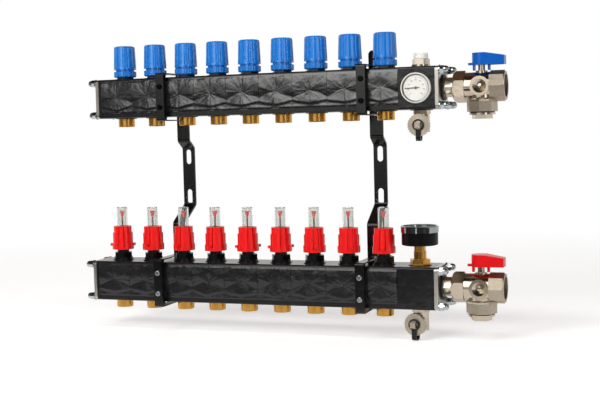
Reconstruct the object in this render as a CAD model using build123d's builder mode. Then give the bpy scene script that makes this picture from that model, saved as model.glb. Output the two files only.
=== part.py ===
from build123d import *
import os
from math import cos, radians

os.makedirs("parts", exist_ok=True)

# Underfloor heating manifold with nine circuits, on two wall brackets.
# Frame: origin at the centre of the left bracket's two wall slots, on the wall.
# +X runs along the bars towards the shut-off valves, +Y goes into the wall, +Z is up.

# Row of circuits
circuits = 9
pitch = 50.0
bar_corner = 3.0
end_length = 50.0
cover_length = 5.0
plate_t = 5.0
plate_corner = 5.0
plate_chamfer = 0.5
axis_spacing = 265.0

# Wall brackets
bracket_pitch = 300.0
first_bracket_at = 101.5
strip_t = 3.0
strip_w = 19.3
bend_r = 5.0
upper_joggle = 16.0
lower_joggle = 40.0
slot_spacing = 60.0
slot_w = 8.5
slot_length = 22.0
wall_top = 43.5
wall_bottom = 42.0
upper_bend_rise = 10.7
lower_bend_drop = 24.5
strip_above_bar = 28.0
strip_below_bar = 11.0
strip_end_r = 6.0
return_axis_z = 118.5

# Bar clamps
pad_t = 3.5
pad_length = 46.0
clamp_w = 12.7
clamp_depth = 8.5
clamp_t = 1.6
clamp_over = 5.8
clamp_corner = 3.0
tab_w = 8.0
tab_past = 2.0
tab_play = 0.2
screw_spacing = 29.5
screw_head_d = 7.6
screw_head_h = 2.6
screw_d = 4.0
screw_in_pad = 2.5

# Modules
bore_d = 34.0
spigot_d = 40.0
spigot_length = 3.0
socket_play = 0.2
seal_t = 1.5
rod_span = 47.0
rod_edge = 5.0
rod_d = 6.0
rod_hole_d = 6.6
boss_d = 31.0
boss_h = 1.0
top_hole_d = 24.0
bottom_hole_d = 20.0
port_play = 0.15
facet_w = 21.0
facet_depth = 1.5
facet_point = 1.0
upper_facet_z = 12.5
upper_facet_h = 24.0
lower_facet_z = -9.5
lower_facet_h = 15.0
foot_band = 7.0
foot_inset = 0.6

# Tie rods with washers and acorn nuts
washer_d = 12.0
washer_t = 1.6
nut_af = 10.0
nut_hex_h = 5.0
nut_dome_r = 4.7
nut_h = 12.0
rod_in_nut = 8.0

# Pipe connectors
connector_d = 24.0
connector_out = 12.0
connector_in = 9.0
connector_bore_d = 16.0
connector_chamfer = 0.8

# Valve inserts, rings and knobs of the return circuits
insert_tail = 16.0
insert_af = 24.0
insert_hex_h = 2.2
insert_d = 23.5
insert_h = 11.0
gland_d = 14.0
gland_h = 17.0
pin_d = 4.0
pin_h = 21.0
ring_d = 33.0
ring_low = 3.4
ring_high = 11.6
ring_chamfer = 1.4
ring_neck_d = 27.4
ring_neck_high = 22.0
ring_play = 0.15
knob_low = 14.6
knob_high = 49.0
knob_d = 33.0
knob_top_d = 30.4
knob_wall = 2.4
knob_roof = 3.0
knob_post_d = 8.0
knob_flutes = 16
flute_r = 1.7
flute_depth = 0.9
flute_low = 3.2
knob_edge = 3.0
ring_flute_depth = 0.6
turn_gap = 0.4

# Flow meters of the supply circuits
flow_tail = 9.0
flow_flange_d = 27.0
flow_flange_h = 3.2
flow_hex_af = 24.0
flow_hex_high = 11.0
flow_neck_d = 17.4
flow_neck_high = 22.0
flow_way_d = 9.0
rod_guide_low = 8.0
rod_guide_play = 0.25
glass_d = 15.2
glass_wall = 1.4
glass_low = 12.5
glass_high = 77.6
cap_low = 15.5
cap_step_1 = 24.3
cap_step_2 = 40.0
cap_high = 49.5
cap_low_d = 31.5
cap_mid_d = 29.2
cap_top_d = 26.2
cap_bore_d = 18.3
cap_slot_w = 1.1
cap_slot_low = 20.0
cap_slot_floor_d = 21.6
cap_slot_half_angle = 15.0
wing_span = 37.0
wing_w = 5.0
wing_low = 20.5
wing_high = 24.3
cap_turns = [109, -7, -10, -8, 128, 126, 28, 27, 8]
float_d = 10.0
float_t = 1.5
float_low = -16.5
indicator_rod_d = 2.4
indicator_low = 64.0
indicator_high = 72.0
indicator_d = 7.4
indicator_foot_d = 3.2

# Dial thermometer in the return end module
thermometer_d = 40.4
thermometer_depth = 6.4
thermometer_floor = 1.6
thermometer_edge = 0.8
thermometer_stem_d = 12.0
thermometer_stem = 10.0
dial_t = 0.8
thermometer_rim = 3.2
thermometer_lip = 1.8
needle_t = 0.6
needle_gap = 0.5
needle_w = 1.6
needle_short = 2.5
needle_tail = 5.0
needle_hub_r = 2.0
shaft_d = 1.4
shaft_drop = 1.8
shaft_hole_d = 2.4
lens_t = 1.2
lens_ledge = 4.3
thermometer_angle = 182.0

# Pressure gauge on the supply end module
gauge_hex_af = 24.0
gauge_hex_high = 8.2
gauge_neck_d = 17.0
gauge_neck_high = 19.0
gauge_stem_af = 14.0
gauge_stem_d = 16.1
gauge_bore_d = 8.5
gauge_stem_tail = 9.5
gauge_low = 27.0
gauge_case_d = 49.0
gauge_floor_high = 45.5
gauge_rim_high = 49.6
gauge_rim_w = 2.0
bezel_wall = 1.0
bezel_lip = 2.0
bezel_low = 44.3
bezel_high = 53.0
gauge_dial_play = 0.5
gauge_needle_short = 4.0
gauge_angle = 225.0

# Air vent
vent_flange_d = 25.6
vent_flange_h = 2.4
vent_hex_af = 21.0
vent_hex_high = 10.8
vent_neck_d = 9.0
vent_neck_high = 16.0
vent_cap_d = 19.6
vent_cap_high = 18.4
port_tail = 9.0

# Drain valves
drain_neck_d = 25.0
drain_neck_h = 5.0
drain_body_d = 21.0
drain_drop = 20.7
drain_foot = 10.0
outlet_d = 20.0
outlet_reach = 19.0
outlet_way_d = 10.0
drain_cap_d = 30.0
drain_cap_t = 7.5
drain_cap_wall = 2.5
drain_knurls = 24
knurl_r = 0.9
key_size = 8.0
key_h = 6.0
strap_t = 2.0
strap_w = 6.5
strap_bend_r = 4.0
strap_drop = 20.5
front_eye_r = 7.8
back_eye_r = 12.8
eye_play = 0.3
drain_turns = {"return": 0.0, "supply": -11.0}

# Union, ball valve and branch plug at the outlet end
gasket_d = 35.0
gasket_t = 2.5
nipple_d = 26.0
nipple_bore_d = 20.0
nipple_length = 13.0
collar_d = 31.0
collar_t = 3.0
nipple_tail = 12.0
union_af = 37.0
union_from = 15.5
union_length = 15.5
union_lip = 2.5
union_turn = 8.0
cut_past = 1.0
tail_d = 33.0
tail_gap = 0.5
barrel_d = 37.5
valve_axis_at = 52.0
octagon_from = 64.0
octagon_length = 18.5
octagon_d = 41.0
end_ring_d = 38.0
end_ring_t = 1.5
outlet_thread_d = 30.3
outlet_thread_depth = 15.0
way_d = 22.0
ball_d = 30.0
ball_gap = 0.4
branch_d = 41.0
branch_neck_d = 35.0
branch_high = 17.5
branch_low = 33.5
shoulder = 3.0
branch_thread_d = 24.0
plug_seal_d = 33.0
plug_seal_t = 1.5
plug_flange_d = 35.0
plug_flange_t = 2.6
plug_hex_af = 24.0
plug_hex_h = 5.4
plug_tail = 16.5
front_boss_d = 26.0
front_boss_reach = 20.0
front_cone_d = 18.0
front_cone_depth = 6.0
front_cone_floor_d = 4.5
stem_boss_d = 16.0
stem_boss_high = 20.5
stem_d = 9.3
stem_high = 33.0
stem_low = 12.0

# Lever of the ball valve
lever_low = 28.0
lever_high = 44.0
lever_tip_high = 39.8
lever_hub_r = 12.5
lever_reach = 31.0
lever_tip_w = 17.0
lever_wall = 2.2
lever_roof = 3.0
lever_pointer = 17.5
pointer_w = 6.0
pointer_t = 3.2
tab_drop = 7.2
lever_tab_w = 6.5
lever_tab_t = 3.0
lever_tab_inset = 1.0

# Places worked out from the sizes above
bar_size = rod_span + 2 * rod_edge
row_x = -first_bracket_at
end_x = row_x + circuits * pitch
plate_x = end_x + end_length
outlet_x = plate_x + plate_t
half = bar_size / 2
return_axis_y = -(upper_joggle + strip_t + pad_t + half)
supply_axis_y = -(lower_joggle + strip_t + pad_t + half)
supply_axis_z = return_axis_z - axis_spacing
circuit_x = [row_x + pitch * (i + 0.5) for i in range(circuits)]
end_mid_x = end_x + end_length / 2
bars = {"return": (return_axis_y, return_axis_z), "supply": (supply_axis_y, supply_axis_z)}
seat = half + boss_h
dial_r = thermometer_d / 2 - thermometer_rim
lens_r = thermometer_d / 2 - thermometer_lip
needle_reach = dial_r - needle_short
bezel_d = gauge_case_d + 2 * bezel_wall
bezel_hole_d = gauge_case_d - 2 * bezel_lip
gauge_dial_r = gauge_case_d / 2 - gauge_rim_w - gauge_dial_play
gauge_needle_reach = gauge_dial_r - gauge_needle_short


def place(piece, spots):
    """Copies of one piece at several spots, as one group of separate solids."""
    return Compound(children=[copy_at(piece, spot) for spot in spots])


def copy_at(piece, spot):
    """One copy of a piece, moved to a spot given as a point or a Location."""
    where = spot if isinstance(spot, Location) else Location(spot)
    return piece.moved(where)


def save(piece, name):
    """Labels a piece and writes it under its own name."""
    piece.label = name
    export_step(piece, f"parts/{name}.step")


def hexagon(across_flats):
    """Radius of a hexagon's corners, from its size across flats."""
    return across_flats / 2 / cos(radians(30))


# Module body: square bar piece with a socket on its left and a spigot on its right
def module_body(length, spigot):
    """One piece of the bar, with its ports above and below the middle."""
    with BuildPart() as body:
        with BuildSketch(Plane.YZ):
            RectangleRounded(bar_size, bar_size, bar_corner)
        extrude(amount=length)
        with BuildSketch(Plane.XY.offset(-half - boss_h)):
            with Locations((length / 2, 0)):
                Circle(boss_d / 2)
        extrude(amount=bar_size + 2 * boss_h)
        if spigot:
            with BuildSketch(Plane.YZ.offset(length)):
                Circle(spigot_d / 2)
            extrude(amount=spigot_length)
        with BuildSketch(Plane.YZ):
            Circle(bore_d / 2)
            with GridLocations(rod_span, rod_span, 2, 2):
                Circle(rod_hole_d / 2)
        extrude(amount=length + spigot_length, mode=Mode.SUBTRACT)
        with BuildSketch(Plane.YZ):
            Circle(spigot_d / 2 + socket_play)
        extrude(amount=spigot_length + seal_t, mode=Mode.SUBTRACT)
        with BuildSketch(Plane.XY):
            with Locations((length / 2, 0)):
                Circle(top_hole_d / 2)
        extrude(amount=seat, mode=Mode.SUBTRACT)
        with BuildSketch(Plane.XY):
            with Locations((length / 2, 0)):
                Circle(bottom_hole_d / 2)
        extrude(amount=-seat, mode=Mode.SUBTRACT)
    return body.part


facet_rows = ((upper_facet_z, upper_facet_h), (lower_facet_z, lower_facet_h))
with BuildPart() as module:
    add(module_body(pitch, True))
    for side in (-1, 1):
        # two columns of shallow hollow facets, a tall one over a low one
        for x in (pitch / 4, pitch * 3 / 4):
            for z, height in facet_rows:
                face = Plane(origin=(x, side * half, z), x_dir=(1, 0, 0), z_dir=(0, side, 0))
                with BuildSketch(face):
                    Rectangle(facet_w, height)
                with BuildSketch(face.offset(-facet_depth)):
                    Rectangle(facet_point, facet_point)
                loft(ruled=True, mode=Mode.SUBTRACT)
        # foot band, set back a little from the face
        with BuildSketch(Plane.YZ):
            with Locations((side * half, -half + foot_band / 2)):
                Rectangle(2 * foot_inset, foot_band)
        extrude(amount=pitch, mode=Mode.SUBTRACT)

for name in ("return", "supply"):
    y, z = bars[name]
    spots = [(row_x + pitch * i, y, z) for i in range(circuits)]
    save(place(module.part, spots), f"{name}_modules")

# End modules, with the thermometer's pocket in the return one, and covers at the blind end
with BuildPart() as supply_end:
    add(module_body(end_length, False))

with BuildPart() as return_end:
    add(supply_end.part)
    with BuildSketch(Plane.XZ.offset(half)):
        with Locations((end_length / 2, 0)):
            Circle(thermometer_stem_d / 2 + port_play)
    extrude(amount=-half, mode=Mode.SUBTRACT)

with BuildPart() as blind_cover:
    with BuildSketch(Plane.YZ.offset(-cover_length)):
        RectangleRounded(bar_size, bar_size, bar_corner)
        with GridLocations(rod_span, rod_span, 2, 2):
            Circle(rod_hole_d / 2, mode=Mode.SUBTRACT)
    extrude(amount=cover_length)
    with BuildSketch(Plane.YZ):
        Circle(spigot_d / 2)
    extrude(amount=spigot_length)

end_pieces = [
    copy_at(return_end.part, (end_x, return_axis_y, return_axis_z)),
    copy_at(supply_end.part, (end_x, supply_axis_y, supply_axis_z)),
    copy_at(blind_cover.part, (row_x, return_axis_y, return_axis_z)),
    copy_at(blind_cover.part, (row_x, supply_axis_y, supply_axis_z)),
]
save(Compound(children=end_pieces), "end_modules")


# End plates, drawn together by four tie rods in each bar
def end_plate(hole_d):
    """A square plate with four rod holes, and a round way through where a hole is asked for."""
    with BuildPart() as plate:
        with BuildSketch(Plane.YZ):
            RectangleRounded(bar_size, bar_size, plate_corner)
            with GridLocations(rod_span, rod_span, 2, 2):
                Circle(rod_hole_d / 2, mode=Mode.SUBTRACT)
            if hole_d:
                Circle(hole_d / 2, mode=Mode.SUBTRACT)
        extrude(amount=plate_t)
        chamfer(plate.faces().sort_by(Axis.X)[-1].outer_wire().edges(), plate_chamfer)
    return plate.part


blind_x = row_x - cover_length - plate_t
blind_plate = end_plate(0)
outlet_plate = end_plate(nipple_d + 2 * port_play)
flip = Location((plate_t, 0, 0), (0, 0, 180))
plates = [copy_at(blind_plate.moved(flip), (blind_x, y, z)) for y, z in bars.values()]
plates += [copy_at(outlet_plate, (plate_x, y, z)) for y, z in bars.values()]
save(Compound(children=plates), "end_plates")

with BuildPart() as acorn_nut:
    with BuildSketch(Plane.YZ):
        RegularPolygon(hexagon(nut_af), 6)
    extrude(amount=nut_hex_h)
    with BuildSketch(Plane.XY):
        with BuildLine():
            top_x = nut_h - nut_dome_r
            Polyline((top_x, nut_dome_r), (0, nut_dome_r), (0, 0), (nut_h, 0))
            RadiusArc((nut_h, 0), (top_x, nut_dome_r), -nut_dome_r)
        make_face()
    revolve(axis=Axis.X)
    with BuildSketch(Plane.YZ):
        Circle(rod_d / 2 + port_play)
    extrude(amount=rod_in_nut, mode=Mode.SUBTRACT)

with BuildPart() as washer:
    with BuildSketch(Plane.YZ):
        Circle(washer_d / 2)
        Circle(rod_hole_d / 2, mode=Mode.SUBTRACT)
    extrude(amount=washer_t)

rod_past = washer_t + rod_in_nut - port_play
with BuildPart() as tie_rod:
    with BuildSketch(Plane.YZ.offset(blind_x - rod_past)):
        Circle(rod_d / 2)
    extrude(amount=outlet_x - blind_x + 2 * rod_past)

fasteners = []
for y, z in bars.values():
    for corner_y in (-rod_span / 2, rod_span / 2):
        for corner_z in (-rod_span / 2, rod_span / 2):
            ry, rz = y + corner_y, z + corner_z
            fasteners.append(copy_at(tie_rod.part, (0, ry, rz)))
            fasteners.append(copy_at(washer.part, (outlet_x, ry, rz)))
            fasteners.append(copy_at(washer.part, (blind_x - washer_t, ry, rz)))
            fasteners.append(copy_at(acorn_nut.part, (outlet_x + washer_t, ry, rz)))
            turned = Location((blind_x - washer_t, ry, rz), (0, 0, 180))
            fasteners.append(copy_at(acorn_nut.part, turned))
save(Compound(children=fasteners), "tie_rods_and_nuts")

# Pipe connectors under both bars
with BuildPart() as connector:
    with BuildSketch(Plane.XY.offset(-seat)):
        Circle(connector_d / 2)
    extrude(amount=-connector_out)
    chamfer(connector.faces().sort_by(Axis.Z)[0].edges(), connector_chamfer)
    with BuildSketch(Plane.XY.offset(-seat)):
        Circle(bottom_hole_d / 2 - port_play)
    extrude(amount=connector_in)
    with BuildSketch(Plane.XY.offset(-seat - connector_out)):
        Circle(connector_bore_d / 2)
    extrude(amount=connector_out + connector_in, mode=Mode.SUBTRACT)

spots = [(x, y, z) for y, z in bars.values() for x in circuit_x]
save(place(connector.part, spots), "pipe_connectors")

# Valve inserts with their rings, on the return bar. Heights count from the bar's top face.
with BuildPart() as insert:
    with BuildSketch(Plane.XY.offset(boss_h - insert_tail)):
        Circle(top_hole_d / 2 - port_play)
    extrude(amount=insert_tail)
    with BuildSketch(Plane.XY.offset(boss_h)):
        RegularPolygon(hexagon(insert_af), 6)
    extrude(amount=insert_hex_h)
    for diameter, high in ((insert_d, insert_h), (gland_d, gland_h), (pin_d, pin_h)):
        with BuildSketch(Plane.XY.offset(boss_h)):
            Circle(diameter / 2)
        extrude(amount=high - boss_h)

with BuildPart() as ring:
    with BuildSketch(Plane.XZ):
        with BuildLine():
            inner = insert_d / 2 + ring_play
            Polyline(
                (inner, ring_low),
                (ring_d / 2 - ring_chamfer, ring_low),
                (ring_d / 2, ring_low + ring_chamfer),
                (ring_d / 2, ring_high),
                (ring_neck_d / 2, ring_high + ring_chamfer / 2),
                (ring_neck_d / 2, ring_neck_high),
                (inner, ring_neck_high),
                close=True,
            )
        make_face()
    revolve(axis=Axis.Z)
    with BuildSketch(Plane.XY.offset(ring_low)):
        with PolarLocations(ring_d / 2 + flute_r - ring_flute_depth, knob_flutes):
            Circle(flute_r)
    extrude(amount=ring_high - ring_low, mode=Mode.SUBTRACT)

spots = [(x, return_axis_y, return_axis_z + half) for x in circuit_x]
save(place(insert.part, spots), "valve_inserts")
save(place(ring.part, spots), "knob_rings")

# Fluted knobs, each turning on its ring's neck, with a post above the insert's pin
bore_top = ring_neck_high + turn_gap
shell_r = knob_top_d / 2 - flute_depth - knob_wall
side_lean = (knob_top_d - knob_d) / 2
flute_from = flute_low / (knob_high - knob_low)
flute_at = knob_d / 2 + side_lean * flute_from - flute_depth + flute_r
with BuildPart() as flute:
    leaning = Plane(origin=(flute_at, 0, knob_low + flute_low), z_dir=(side_lean, 0, knob_high - knob_low))
    with BuildSketch(leaning):
        Circle(flute_r)
    extrude(amount=knob_high - knob_low)

with BuildPart() as knob:
    with BuildSketch(Plane.XZ):
        with BuildLine():
            Polyline(
                (ring_neck_d / 2 + turn_gap, knob_low),
                (knob_d / 2, knob_low),
                (knob_top_d / 2, knob_high),
                (0, knob_high),
                (0, bore_top),
                (knob_post_d / 2, bore_top),
                (knob_post_d / 2, knob_high - knob_roof),
                (shell_r, knob_high - knob_roof),
                (shell_r, bore_top),
                (ring_neck_d / 2 + turn_gap, bore_top),
                close=True,
            )
        make_face()
    revolve(axis=Axis.Z)
    fillet(knob.faces().sort_by(Axis.Z)[-1].edges(), knob_edge)
    with PolarLocations(0, knob_flutes):
        add(flute.part, mode=Mode.SUBTRACT)

for number, spot in enumerate(spots, 1):
    save(copy_at(knob.part, spot), f"return_knob_{number}")

# Flow meters on the supply bar: body, sight glass, adjusting cap and indicator
with BuildPart() as flow_body:
    with BuildSketch(Plane.XY.offset(boss_h - flow_tail)):
        Circle(top_hole_d / 2 - port_play)
    extrude(amount=flow_tail)
    with BuildSketch(Plane.XY.offset(boss_h)):
        Circle(flow_flange_d / 2)
    extrude(amount=flow_flange_h)
    with BuildSketch(Plane.XY.offset(boss_h)):
        RegularPolygon(hexagon(flow_hex_af), 6)
    extrude(amount=flow_hex_high - boss_h)
    with BuildSketch(Plane.XY.offset(boss_h)):
        Circle(flow_neck_d / 2)
    extrude(amount=flow_neck_high - boss_h)
    with BuildSketch(Plane.XY.offset(boss_h - flow_tail)):
        Circle(flow_way_d / 2)
    extrude(amount=flow_tail + rod_guide_low - boss_h, mode=Mode.SUBTRACT)
    with BuildSketch(Plane.XY.offset(rod_guide_low)):
        Circle(indicator_rod_d / 2 + rod_guide_play)
    extrude(amount=flow_neck_high, mode=Mode.SUBTRACT)
    with BuildSketch(Plane.XY.offset(glass_low)):
        Circle(glass_d / 2 + port_play)
    extrude(amount=flow_neck_high, mode=Mode.SUBTRACT)

with BuildPart() as sight_glass:
    with BuildSketch(Plane.XY.offset(glass_low)):
        Circle(glass_d / 2)
    extrude(amount=glass_high - glass_low)
    fillet(sight_glass.faces().sort_by(Axis.Z)[-1].edges(), glass_wall)
    with BuildSketch(Plane.XY.offset(glass_low)):
        Circle(glass_d / 2 - glass_wall)
    extrude(amount=glass_high - glass_low - glass_wall, mode=Mode.SUBTRACT)

with BuildPart() as flow_cap:
    steps = (
        (cap_low, cap_step_1, cap_low_d),
        (cap_step_1, cap_step_2, cap_mid_d),
        (cap_step_2, cap_high, cap_top_d),
    )
    for low, high, diameter in steps:
        with BuildSketch(Plane.XY.offset(low)):
            Circle(diameter / 2)
        extrude(amount=high - low)
    with BuildSketch(Plane.XY.offset(wing_low)):
        Rectangle(wing_w, wing_span)
    extrude(amount=wing_high - wing_low)
    with BuildSketch(Plane.XY.offset(cap_low)):
        Circle(cap_bore_d / 2)
    extrude(amount=cap_high - cap_low, mode=Mode.SUBTRACT)
    with BuildSketch(Plane.XY.offset(cap_slot_low)):
        for quarter in range(4):
            for turn in (-cap_slot_half_angle, cap_slot_half_angle):
                with PolarLocations((cap_slot_floor_d + cap_low_d) / 4, 1, 90 * quarter + turn):
                    Rectangle((cap_low_d - cap_slot_floor_d) / 2, cap_slot_w)
    extrude(amount=cap_high - cap_slot_low, mode=Mode.SUBTRACT)

with BuildPart() as indicator:
    with BuildSketch(Plane.XZ):
        with BuildLine():
            Polyline(
                (0, float_low),
                (float_d / 2, float_low),
                (float_d / 2, float_low + float_t),
                (indicator_rod_d / 2, float_low + float_t),
                (indicator_rod_d / 2, indicator_low),
                (indicator_foot_d / 2, indicator_low),
                (indicator_d / 2, indicator_high),
                (0, indicator_high),
                close=True,
            )
        make_face()
    revolve(axis=Axis.Z)

spots = [(x, supply_axis_y, supply_axis_z + half) for x in circuit_x]
save(place(flow_body.part, spots), "flow_bodies")
for number, (spot, turn) in enumerate(zip(spots, cap_turns), 1):
    save(copy_at(flow_cap.part, Location(spot, (0, 0, turn))), f"flow_cap_{number}")
    save(copy_at(indicator.part, spot), f"flow_indicator_{number}")
glasses = [copy_at(sight_glass.part, spot) for spot in spots]


# Dial instruments. Each is built face up, its axis on Z, and then set in its place.
def needle(reach):
    """A pointer with a hub and its shaft, lying just above the dial at height zero."""
    with BuildPart() as pointer:
        with BuildSketch(Plane.XY.offset(needle_gap)):
            with Locations(((reach - needle_tail) / 2, 0)):
                Rectangle(reach + needle_tail, needle_w)
            Circle(needle_hub_r)
        extrude(amount=needle_t)
        with BuildSketch(Plane.XY.offset(-shaft_drop)):
            Circle(shaft_d / 2)
        extrude(amount=shaft_drop + needle_gap)
    return pointer.part


def dial(radius):
    """A thin dial plate whose face is at height zero."""
    with BuildPart() as plate:
        with BuildSketch(Plane.XY.offset(-dial_t)):
            Circle(radius)
            Circle(shaft_hole_d / 2, mode=Mode.SUBTRACT)
        extrude(amount=dial_t)
    return plate.part


def lens(radius):
    """A flat clear cover whose back is at height zero."""
    with BuildPart() as cover:
        with BuildSketch(Plane.XY):
            Circle(radius)
        extrude(amount=lens_t)
    return cover.part


with BuildPart() as thermometer_case:
    with BuildSketch(Plane.XY):
        Circle(thermometer_d / 2)
    extrude(amount=thermometer_depth)
    chamfer(thermometer_case.faces().sort_by(Axis.Z)[-1].edges(), thermometer_edge)
    with BuildSketch(Plane.XY):
        Circle(thermometer_stem_d / 2)
    extrude(amount=-thermometer_stem)
    with BuildSketch(Plane.XY.offset(thermometer_floor)):
        Circle(dial_r + port_play)
    extrude(amount=thermometer_depth, mode=Mode.SUBTRACT)
    with BuildSketch(Plane.XY.offset(lens_ledge)):
        Circle(lens_r + port_play)
    extrude(amount=thermometer_depth, mode=Mode.SUBTRACT)
    with BuildSketch(Plane.XY.offset(-dial_t)):
        Circle(shaft_hole_d / 2)
    extrude(amount=thermometer_floor + dial_t, mode=Mode.SUBTRACT)

with BuildPart() as gauge_case:
    with BuildSketch(Plane.XY.offset(gauge_low)):
        Circle(gauge_case_d / 2)
    extrude(amount=gauge_rim_high - gauge_low)
    fillet(gauge_case.faces().sort_by(Axis.Z)[0].edges(), gauge_rim_w)
    with BuildSketch(Plane.XY.offset(gauge_floor_high)):
        Circle(gauge_case_d / 2 - gauge_rim_w)
    extrude(amount=gauge_rim_high, mode=Mode.SUBTRACT)
    with BuildSketch(Plane.XY.offset(gauge_floor_high - shaft_drop)):
        Circle(shaft_hole_d / 2)
    extrude(amount=gauge_rim_high, mode=Mode.SUBTRACT)

with BuildPart() as gauge_bezel:
    with BuildSketch(Plane.XZ):
        with BuildLine():
            hold = gauge_case_d / 2 + port_play
            lid = gauge_rim_high + lens_t + port_play
            Polyline(
                (hold, bezel_low),
                (bezel_d / 2, bezel_low),
                (bezel_d / 2, bezel_high - gauge_rim_w / 2),
                (bezel_d / 2 - gauge_rim_w / 2, bezel_high),
                (bezel_hole_d / 2, bezel_high),
                (bezel_hole_d / 2, lid),
                (hold, lid),
                close=True,
            )
        make_face()
    revolve(axis=Axis.Z)

with BuildPart() as gauge_adapter:
    with BuildSketch(Plane.XY.offset(boss_h - port_tail)):
        Circle(top_hole_d / 2 - port_play)
    extrude(amount=port_tail)
    with BuildSketch(Plane.XY.offset(boss_h)):
        RegularPolygon(hexagon(gauge_hex_af), 6)
    extrude(amount=gauge_hex_high - boss_h)
    with BuildSketch(Plane.XY.offset(boss_h)):
        Circle(gauge_neck_d / 2)
    extrude(amount=gauge_neck_high - boss_h)
    with BuildSketch(Plane.XY.offset(boss_h - port_tail)):
        Circle(gauge_bore_d / 2)
    extrude(amount=gauge_neck_high + port_tail, mode=Mode.SUBTRACT)

with BuildPart() as gauge_stem:
    with BuildSketch(Plane.XY.offset(gauge_neck_high)):
        Rectangle(gauge_stem_af, gauge_stem_af)
        Circle(gauge_stem_d / 2, mode=Mode.INTERSECT)
    extrude(amount=gauge_low - gauge_neck_high)
    with BuildSketch(Plane.XY.offset(gauge_neck_high)):
        Circle(gauge_bore_d / 2 - port_play)
    extrude(amount=-gauge_stem_tail)

thermometer_at = Location((end_mid_x, return_axis_y - half, return_axis_z), (90, 0, 0))
gauge_at = Location((end_mid_x, supply_axis_y, supply_axis_z + half))
dial_at = Location((0, 0, thermometer_floor + dial_t))
gauge_dial_at = Location((0, 0, gauge_floor_high + dial_t))
save(copy_at(gauge_case.part, gauge_at), "gauge_case")
save(copy_at(gauge_bezel.part, gauge_at), "gauge_bezel")
whites = [
    copy_at(thermometer_case.part, thermometer_at),
    copy_at(dial(dial_r), thermometer_at * dial_at),
    copy_at(dial(gauge_dial_r), gauge_at * gauge_dial_at),
]
save(Compound(children=whites), "thermometer_case_and_dials")
read_at = Location((0, 0, 0), (0, 0, thermometer_angle))
save(copy_at(needle(needle_reach), thermometer_at * dial_at * read_at), "thermometer_needle")
read_at = Location((0, 0, 0), (0, 0, gauge_angle))
save(copy_at(needle(gauge_needle_reach), gauge_at * gauge_dial_at * read_at), "gauge_needle")
glasses.append(copy_at(lens(lens_r), thermometer_at * Location((0, 0, lens_ledge))))
glasses.append(copy_at(lens(gauge_case_d / 2), gauge_at * Location((0, 0, gauge_rim_high))))
save(Compound(children=glasses), "clear_covers")
fittings = [copy_at(gauge_adapter.part, gauge_at), copy_at(gauge_stem.part, gauge_at)]
save(Compound(children=fittings), "gauge_fittings")

# Air vent on the return end module
with BuildPart() as vent_body:
    with BuildSketch(Plane.XY.offset(boss_h - port_tail)):
        Circle(top_hole_d / 2 - port_play)
    extrude(amount=port_tail)
    with BuildSketch(Plane.XY.offset(boss_h)):
        Circle(vent_flange_d / 2)
    extrude(amount=vent_flange_h)
    with BuildSketch(Plane.XY.offset(boss_h)):
        RegularPolygon(hexagon(vent_hex_af), 6)
    extrude(amount=vent_hex_high - boss_h)
    with BuildSketch(Plane.XY.offset(boss_h)):
        Circle(vent_neck_d / 2)
    extrude(amount=vent_neck_high - boss_h)

with BuildPart() as vent_cap:
    with BuildSketch(Plane.XY.offset(vent_hex_high + turn_gap)):
        Circle(vent_cap_d / 2)
    extrude(amount=vent_cap_high - vent_hex_high - turn_gap)
    chamfer(vent_cap.faces().sort_by(Axis.Z)[-1].edges(), turn_gap)
    with BuildSketch(Plane.XY.offset(vent_hex_high)):
        Circle(vent_neck_d / 2 + turn_gap)
    extrude(amount=vent_neck_high + turn_gap - vent_hex_high, mode=Mode.SUBTRACT)

vent_at = (end_mid_x, return_axis_y, return_axis_z + half)
save(copy_at(vent_body.part, vent_at), "vent_body")
save(copy_at(vent_cap.part, vent_at), "vent_cap")

# Drain valves under the end modules. Heights count from the bar's axis, the outlet faces front.
drain_z = -half - drain_drop
with BuildPart() as drain_body:
    with BuildSketch(Plane.XY.offset(-seat)):
        Circle(bottom_hole_d / 2 - port_play)
    extrude(amount=port_tail)
    with BuildSketch(Plane.XY.offset(-seat)):
        RegularPolygon(drain_neck_d / 2, 8)
    extrude(amount=-drain_neck_h)
    with BuildSketch(Plane.XY.offset(-seat)):
        Circle(drain_body_d / 2)
    extrude(amount=drain_z + seat - drain_foot)
    with BuildSketch(Plane.XZ.offset(0)):
        with Locations((0, drain_z)):
            Circle(outlet_d / 2)
    extrude(amount=outlet_reach)
    with BuildSketch(Plane.XZ.offset(0)):
        with Locations((0, drain_z)):
            Circle(outlet_way_d / 2)
    extrude(amount=outlet_reach, mode=Mode.SUBTRACT)

cap_back = outlet_reach + drain_cap_wall + turn_gap - drain_cap_t
with BuildPart() as drain_cap:
    with BuildSketch(Plane.XZ.offset(cap_back)):
        with Locations((0, drain_z)):
            Circle(drain_cap_d / 2)
            with PolarLocations(drain_cap_d / 2, drain_knurls):
                Circle(knurl_r, mode=Mode.SUBTRACT)
    extrude(amount=drain_cap_t)
    with BuildSketch(Plane.XZ.offset(cap_back + drain_cap_t)):
        with Locations((0, drain_z)):
            Rectangle(key_size, key_size)
    extrude(amount=key_h)
    with BuildSketch(Plane.XZ.offset(cap_back)):
        with Locations((0, drain_z)):
            Circle(outlet_d / 2 + turn_gap)
    extrude(amount=drain_cap_t - drain_cap_wall, mode=Mode.SUBTRACT)

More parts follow.
